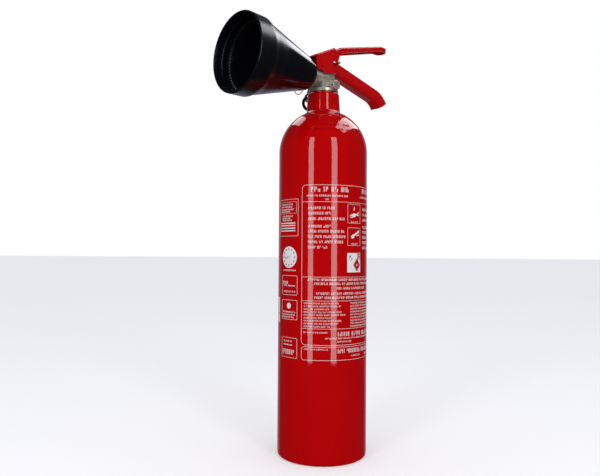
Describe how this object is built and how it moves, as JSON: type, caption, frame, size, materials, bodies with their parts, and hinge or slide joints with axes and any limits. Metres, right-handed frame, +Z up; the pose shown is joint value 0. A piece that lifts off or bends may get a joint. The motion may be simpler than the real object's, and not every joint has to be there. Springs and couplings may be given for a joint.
{
  "type": "fire extinguisher",
  "caption": "Portable carbon dioxide fire extinguisher: red steel cylinder, squeeze-grip valve with carry handle, safety pin and ring, and a black discharge horn.",
  "frame": {"origin": "centre of the cylinder's foot ring, on the floor plane", "axes": "+Z up the cylinder, -X along the discharge horn, +X along the levers, -Y out of the labelled front"},
  "size_m": [0.246, 0.1082, 0.5209],
  "materials": {
    "cylinder_enamel": "glossy deep red stoving enamel",
    "label_film": "glossy printed film, red with white print",
    "seal_copper": "plain soft copper",
    "valve_nickel": "satin nickel plate over forged brass",
    "bare_brass": "machined brass",
    "tube_aluminium": "drawn tube",
    "spring_steel": "bright spring wire",
    "stem_steel": "ground stainless steel",
    "nylon_white": "natural nylon",
    "o_ring_rubber": "black nitrile rubber",
    "horn_black": "semi-gloss black moulded plastic",
    "lever_enamel": "glossy red powder coat over steel",
    "pin_steel": "zinc-plated steel wire",
    "ring_black": "black moulded nylon",
    "seal_red": "thin red polypropylene tie"
  },
  "bodies": {
    "extinguisher_body": {"cylinder_shell": "cylinder_enamel", "label_film": "label_film", "neck_seal_washer": "seal_copper", "valve_body": "valve_nickel", "spring_retainer": "bare_brass", "dip_tube": "tube_aluminium", "valve_spring": "spring_steel", "stem_o_ring": "o_ring_rubber", "gland_nut": "bare_brass", "burst_disc": "seal_copper", "burst_disc_washer": "seal_copper", "burst_disc_cap": "valve_nickel", "horn_gasket": "o_ring_rubber", "discharge_nozzle": "bare_brass", "horn": "horn_black", "lever_bracket": "lever_enamel", "carry_handle": "lever_enamel", "lever_pivot_pin": "lever_enamel", "bracket_rivet": "lever_enamel"},
    "squeeze_lever_body": {"squeeze_lever": "lever_enamel"},
    "valve_stem_body": {"valve_stem": "stem_steel", "valve_poppet": "bare_brass", "seat_disc": "nylon_white"},
    "safety_pin_body": {"safety_pin": "pin_steel", "tamper_seal": "seal_red"},
    "pull_ring_body": {"pull_ring": "ring_black"}
  },
  "joints": [
    {"name": "squeeze_lever_hinge", "type": "hinge", "parent": "extinguisher_body", "child": "squeeze_lever_body", "pos_m": [-0.0124, 0, 0.4723], "axis": [0, 1, 0], "range_deg": [0, 14], "stiffness_Nm_per_rad": 0.8, "springref_deg": -17.19},
    {"name": "valve_stem_slide", "type": "slide", "parent": "extinguisher_body", "child": "valve_stem_body", "axis": [0, 0, -1], "range_m": [0, 0.0042], "deforming": ["valve_spring"]},
    {"name": "safety_pin_slide", "type": "slide", "parent": "extinguisher_body", "child": "safety_pin_body", "axis": [0, 1, 0], "range_m": [0, 0.05]},
    {"name": "pull_ring_hinge", "type": "hinge", "parent": "safety_pin_body", "child": "pull_ring_body", "pos_m": [-0.0015, 0.0275, 0.4403], "axis": [1, 0, 0], "range_deg": [-14, 75]}
  ],
  "couplings": [
    {"joint": "valve_stem_slide", "follows": "squeeze_lever_hinge", "m_per_rad": 0.0171}
  ]
}
